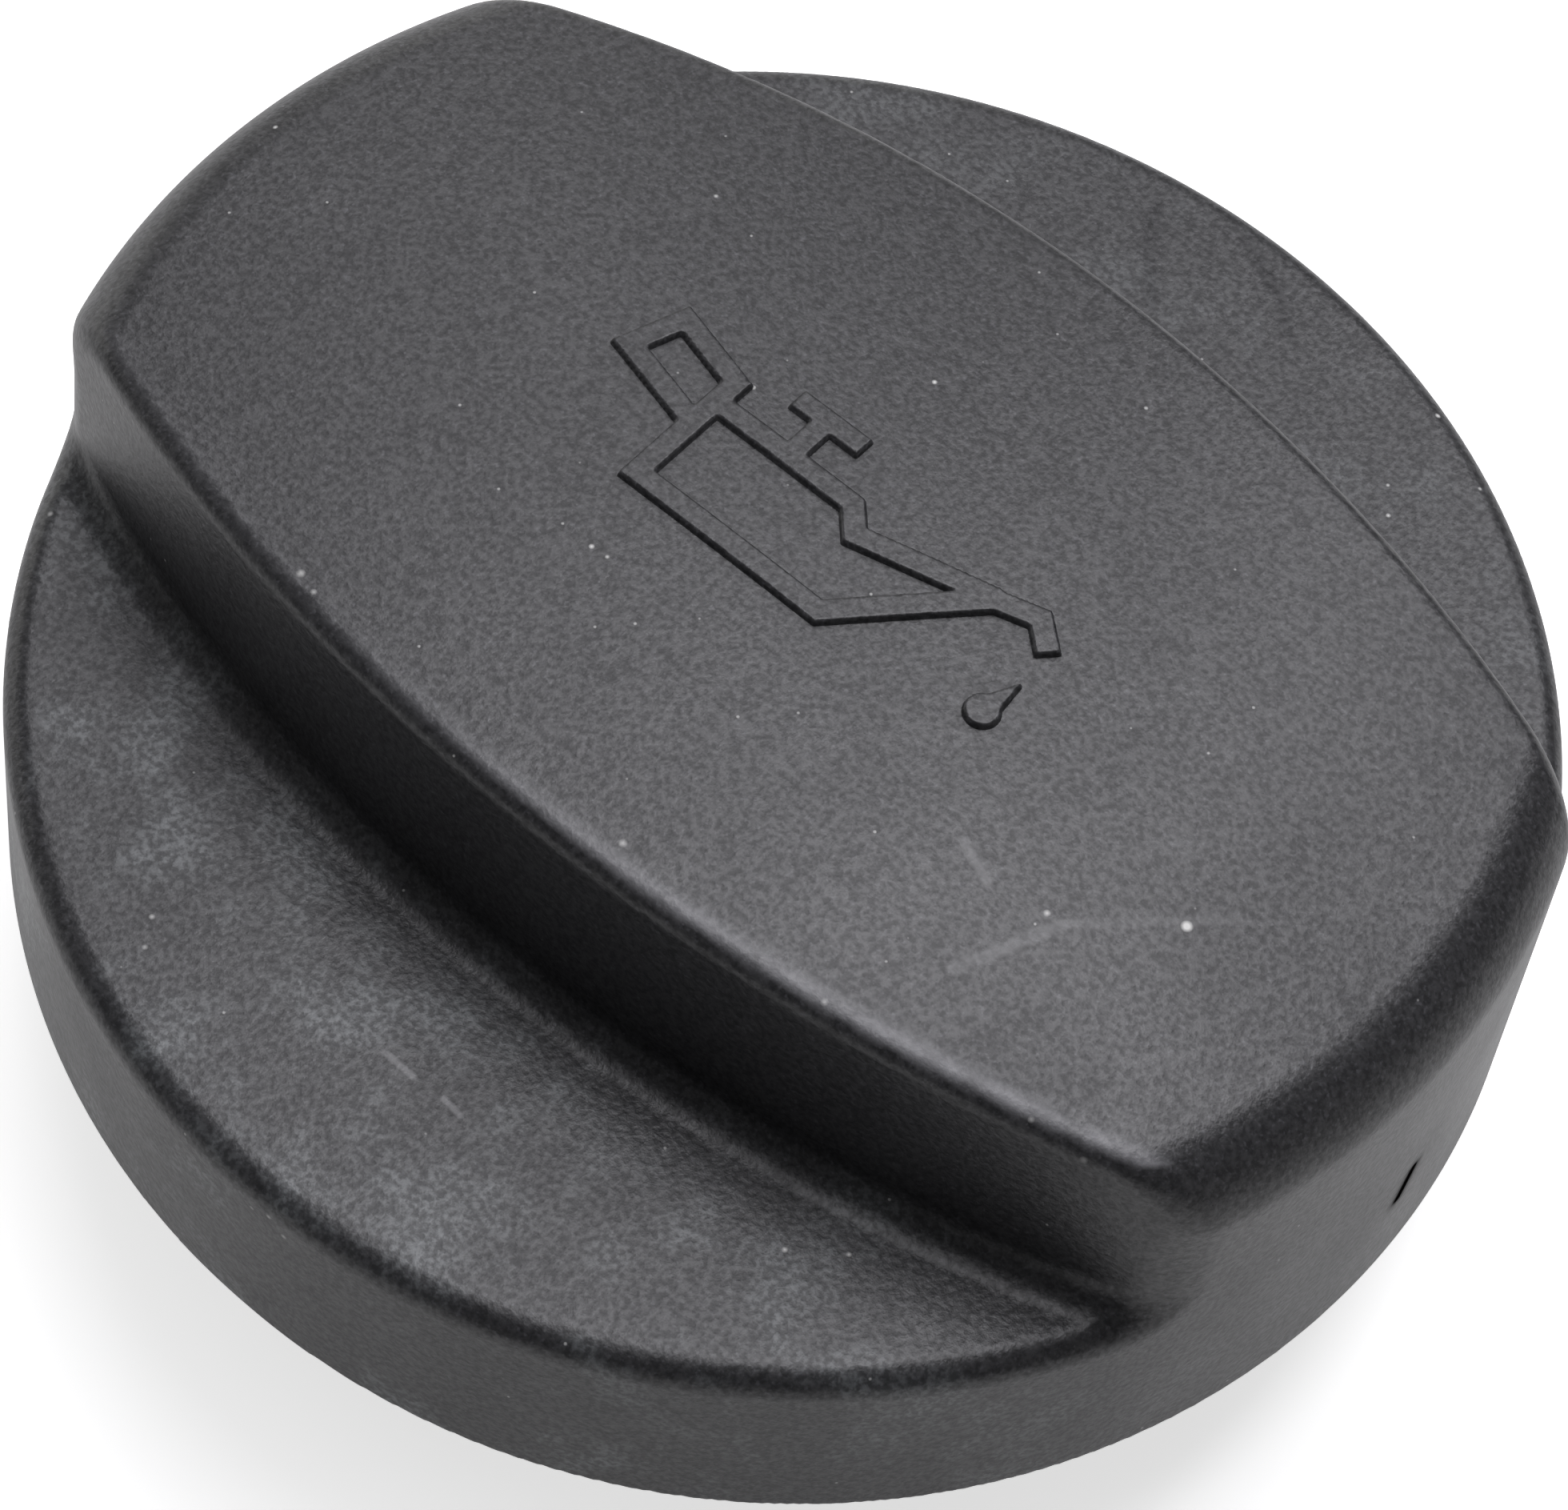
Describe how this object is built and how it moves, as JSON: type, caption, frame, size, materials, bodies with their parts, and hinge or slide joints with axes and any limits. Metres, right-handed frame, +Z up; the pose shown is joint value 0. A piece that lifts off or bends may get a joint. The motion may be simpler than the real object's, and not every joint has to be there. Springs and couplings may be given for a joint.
{
  "type": "oil filler cap",
  "caption": "Round quarter-turn filler cap with a wide barrel-shaped grip, a drafted skirt, a bayonet stem with ramped lugs and a rubber sealing ring.",
  "frame": {"origin": "on the cap's axis, in the plane of the stem's lower end", "axes": "+Z up along the cap's axis through the grip, +X along the grip, towards the spout of the raised sign; a quarter turn about -Z closes the cap"},
  "size_m": [0.0678, 0.0678, 0.0337],
  "materials": {
    "cover_plastic": "spark-eroded grain, dark grey glass-filled nylon",
    "insert_plastic": "plain moulded black nylon",
    "seal_rubber": "smooth black oil-resistant rubber"
  },
  "bodies": {
    "root": {"cover": "cover_plastic", "bayonet_insert": "insert_plastic", "sealing_ring": "seal_rubber"}
  },
  "joints": []
}
